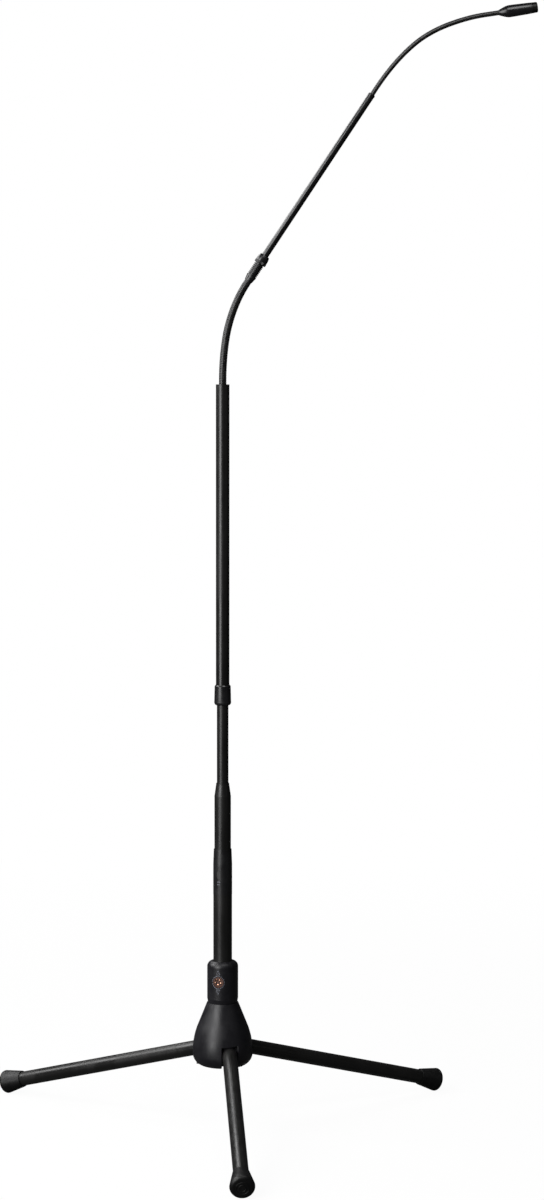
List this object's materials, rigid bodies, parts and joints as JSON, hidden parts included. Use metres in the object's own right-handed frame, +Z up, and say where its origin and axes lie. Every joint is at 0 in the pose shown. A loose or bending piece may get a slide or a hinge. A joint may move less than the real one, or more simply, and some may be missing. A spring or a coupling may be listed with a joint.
{
  "type": "gooseneck stand microphone",
  "caption": "Floor-standing gooseneck microphone: slim pencil head on a bent boom, telescopic mast, bell-shaped hub and folding tripod.",
  "frame": {"origin": "point on the floor under the mast axis", "axes": "+Z up along the mast, +X the way the boom and head lean, front leg towards -Y"},
  "size_m": [0.7504, 0.5664, 1.5391],
  "materials": {
    "cast_black": "fine satin powder coat on a casting",
    "tube_black": "satin powder coat",
    "boom_black": "gloss lacquer",
    "neck_black": "semi-matt coat on a wound flexible tube",
    "head_black": "fine satin anodised look",
    "grille_black": "matt black perforated metal",
    "clutch_black": "satin moulded plastic",
    "rubber_black": "matt rubber",
    "nylon_black": "matt nylon",
    "copper": "polished copper colour",
    "plain_steel": "ground steel",
    "contact_gold": "plated contact",
    "board_green": "solder-resist"
  },
  "bodies": {
    "hub": {"hub_bell": "cast_black", "hub_collar": "cast_black", "collar_grub_screws": "plain_steel", "collar_badge": "copper", "leg_pins": "plain_steel", "pin_keepers": "cast_black", "socket_shell": "plain_steel", "socket_insert": "nylon_black", "socket_pins": "contact_gold", "lower_tube": "tube_black", "tube_plug": "nylon_black", "grip_sleeve": "clutch_black", "grip_liner": "nylon_black"},
    "release_button": {"release_button": "nylon_black"},
    "middle_mast": {"middle_tube": "tube_black", "middle_bush": "nylon_black", "tube_reducer": "tube_black", "thin_tube": "tube_black", "thin_bush": "nylon_black"},
    "clutch": {"clutch_body": "nylon_black", "clutch_collet": "nylon_black"},
    "clutch_ring": {"clutch_ring": "clutch_black"},
    "upper_mast": {"upper_tube": "tube_black", "upper_plug": "nylon_black", "mast_lead": "rubber_black", "gooseneck_lower_1": "neck_black"},
    "leg_1": {"leg_knuckle_1": "cast_black", "leg_tube_1": "tube_black", "foot_cap_1": "rubber_black"},
    "leg_2": {"leg_knuckle_2": "cast_black", "leg_tube_2": "tube_black", "foot_cap_2": "rubber_black"},
    "leg_3": {"leg_knuckle_3": "cast_black", "leg_tube_3": "tube_black", "foot_cap_3": "rubber_black"},
    "lower_neck_2": {"gooseneck_lower_2": "neck_black"},
    "lower_neck_3": {"gooseneck_lower_3": "neck_black"},
    "lower_neck_4": {"gooseneck_lower_4": "neck_black"},
    "lower_neck_5": {"gooseneck_lower_5": "neck_black"},
    "boom": {"gooseneck_lower_6": "neck_black", "coupling_sleeve": "cast_black", "boom_tube": "boom_black", "boom_end_ring": "boom_black", "boom_lead": "rubber_black", "gooseneck_upper_1": "neck_black"},
    "coupling_nut": {"coupling_nut": "cast_black"},
    "upper_neck_2": {"gooseneck_upper_2": "neck_black"},
    "upper_neck_3": {"gooseneck_upper_3": "neck_black"},
    "upper_neck_4": {"gooseneck_upper_4": "neck_black"},
    "upper_neck_5": {"gooseneck_upper_5": "neck_black"},
    "upper_neck_6": {"gooseneck_upper_6": "neck_black"},
    "upper_neck_7": {"gooseneck_upper_7": "neck_black"},
    "head": {"gooseneck_upper_8": "neck_black", "head_cone": "head_black", "head_body": "head_black", "head_grille": "grille_black", "capsule": "contact_gold", "capsule_seat": "rubber_black", "preamp_board": "board_green"}
  },
  "joints": [
    {"name": "leg_1_fold", "type": "hinge", "parent": "hub", "child": "leg_1", "pos_m": [0.00935, -0.02347, 0.10849], "axis": [0.9981, 0.061, 0], "range_deg": [0, 74]},
    {"name": "leg_2_fold", "type": "hinge", "parent": "hub", "child": "leg_2", "pos_m": [0.01683, 0.01884, 0.10849], "axis": [-0.5, 0.866, 0], "range_deg": [0, 74]},
    {"name": "leg_3_fold", "type": "hinge", "parent": "hub", "child": "leg_3", "pos_m": [-0.02474, 0.00516, 0.10849], "axis": [-0.5, -0.866, 0], "range_deg": [0, 74]},
    {"name": "release_press", "type": "slide", "parent": "hub", "child": "release_button", "axis": [0.4226, 0.9063, 0], "range_m": [0, 0.0005], "stiffness_N_per_m": 2000},
    {"name": "mast_slide", "type": "slide", "parent": "hub", "child": "middle_mast", "axis": [0, 0, 1], "range_m": [-0.05, 0.11]},
    {"name": "upper_slide", "type": "slide", "parent": "middle_mast", "child": "clutch", "axis": [0, 0, 1], "range_m": [-0.105, 0.235]},
    {"name": "clutch_twist", "type": "hinge", "parent": "clutch", "child": "clutch_ring", "pos_m": [0, 0, 0.5854], "axis": [0, 0, 1], "range_deg": [0, 45]},
    {"name": "upper_turn", "type": "hinge", "parent": "clutch", "child": "upper_mast", "pos_m": [0, 0, 0.604], "axis": [0, 0, 1], "continuous": true},
    {"name": "lower_neck_bend", "type": "hinge", "parent": "upper_mast", "child": "lower_neck_2", "pos_m": [0, 0, 1.0426], "axis": [0, 1, 0], "range_deg": [-20, 18]},
    {"name": "lower_neck_bend_2", "type": "hinge", "parent": "lower_neck_2", "child": "lower_neck_3", "pos_m": [0.00195, 0, 1.07053], "axis": [0, 1, 0], "range_deg": [-20, 18]},
    {"name": "lower_neck_bend_3", "type": "hinge", "parent": "lower_neck_3", "child": "lower_neck_4", "pos_m": [0.00604, 0, 1.09823], "axis": [0, 1, 0], "range_deg": [-20, 18]},
    {"name": "lower_neck_bend_4", "type": "hinge", "parent": "lower_neck_4", "child": "lower_neck_5", "pos_m": [0.01395, 0, 1.12509], "axis": [0, 1, 0], "range_deg": [-20, 18]},
    {"name": "lower_neck_bend_5", "type": "hinge", "parent": "lower_neck_5", "child": "boom", "pos_m": [0.02538, 0, 1.15065], "axis": [0, 1, 0], "range_deg": [-20, 18]},
    {"name": "coupling_twist", "type": "hinge", "parent": "boom", "child": "coupling_nut", "pos_m": [0.05004, 0, 1.18769], "axis": [0.5541, 0, 0.8324], "range_deg": [0, 90]},
    {"name": "upper_neck_bend", "type": "hinge", "parent": "boom", "child": "upper_neck_2", "pos_m": [0.21195, 0, 1.43093], "axis": [0, 1, 0], "range_deg": [-23, 20]},
    {"name": "upper_neck_bend_2", "type": "hinge", "parent": "upper_neck_2", "child": "upper_neck_3", "pos_m": [0.22824, 0, 1.45247], "axis": [0, 1, 0], "range_deg": [-23, 20]},
    {"name": "upper_neck_bend_3", "type": "hinge", "parent": "upper_neck_3", "child": "upper_neck_4", "pos_m": [0.24648, 0, 1.47237], "axis": [0, 1, 0], "range_deg": [-23, 20]},
    {"name": "upper_neck_bend_4", "type": "hinge", "parent": "upper_neck_4", "child": "upper_neck_5", "pos_m": [0.26692, 0, 1.49002], "axis": [0, 1, 0], "range_deg": [-23, 20]},
    {"name": "upper_neck_bend_5", "type": "hinge", "parent": "upper_neck_5", "child": "upper_neck_6", "pos_m": [0.2903, 0, 1.50352], "axis": [0, 1, 0], "range_deg": [-23, 20]},
    {"name": "upper_neck_bend_6", "type": "hinge", "parent": "upper_neck_6", "child": "upper_neck_7", "pos_m": [0.31551, 0, 1.51319], "axis": [0, 1, 0], "range_deg": [-23, 20]},
    {"name": "upper_neck_bend_7", "type": "hinge", "parent": "upper_neck_7", "child": "head", "pos_m": [0.34153, 0, 1.52041], "axis": [0, 1, 0], "range_deg": [-23, 20]}
  ],
  "couplings": [
    {"joint": "lower_neck_bend_2", "follows": "lower_neck_bend", "ratio": 1},
    {"joint": "lower_neck_bend_3", "follows": "lower_neck_bend", "ratio": 1},
    {"joint": "lower_neck_bend_4", "follows": "lower_neck_bend", "ratio": 1},
    {"joint": "lower_neck_bend_5", "follows": "lower_neck_bend", "ratio": 1},
    {"joint": "upper_neck_bend_2", "follows": "upper_neck_bend", "ratio": 1},
    {"joint": "upper_neck_bend_3", "follows": "upper_neck_bend", "ratio": 1},
    {"joint": "upper_neck_bend_4", "follows": "upper_neck_bend", "ratio": 1},
    {"joint": "upper_neck_bend_5", "follows": "upper_neck_bend", "ratio": 1},
    {"joint": "upper_neck_bend_6", "follows": "upper_neck_bend", "ratio": 1},
    {"joint": "upper_neck_bend_7", "follows": "upper_neck_bend", "ratio": 1}
  ]
}
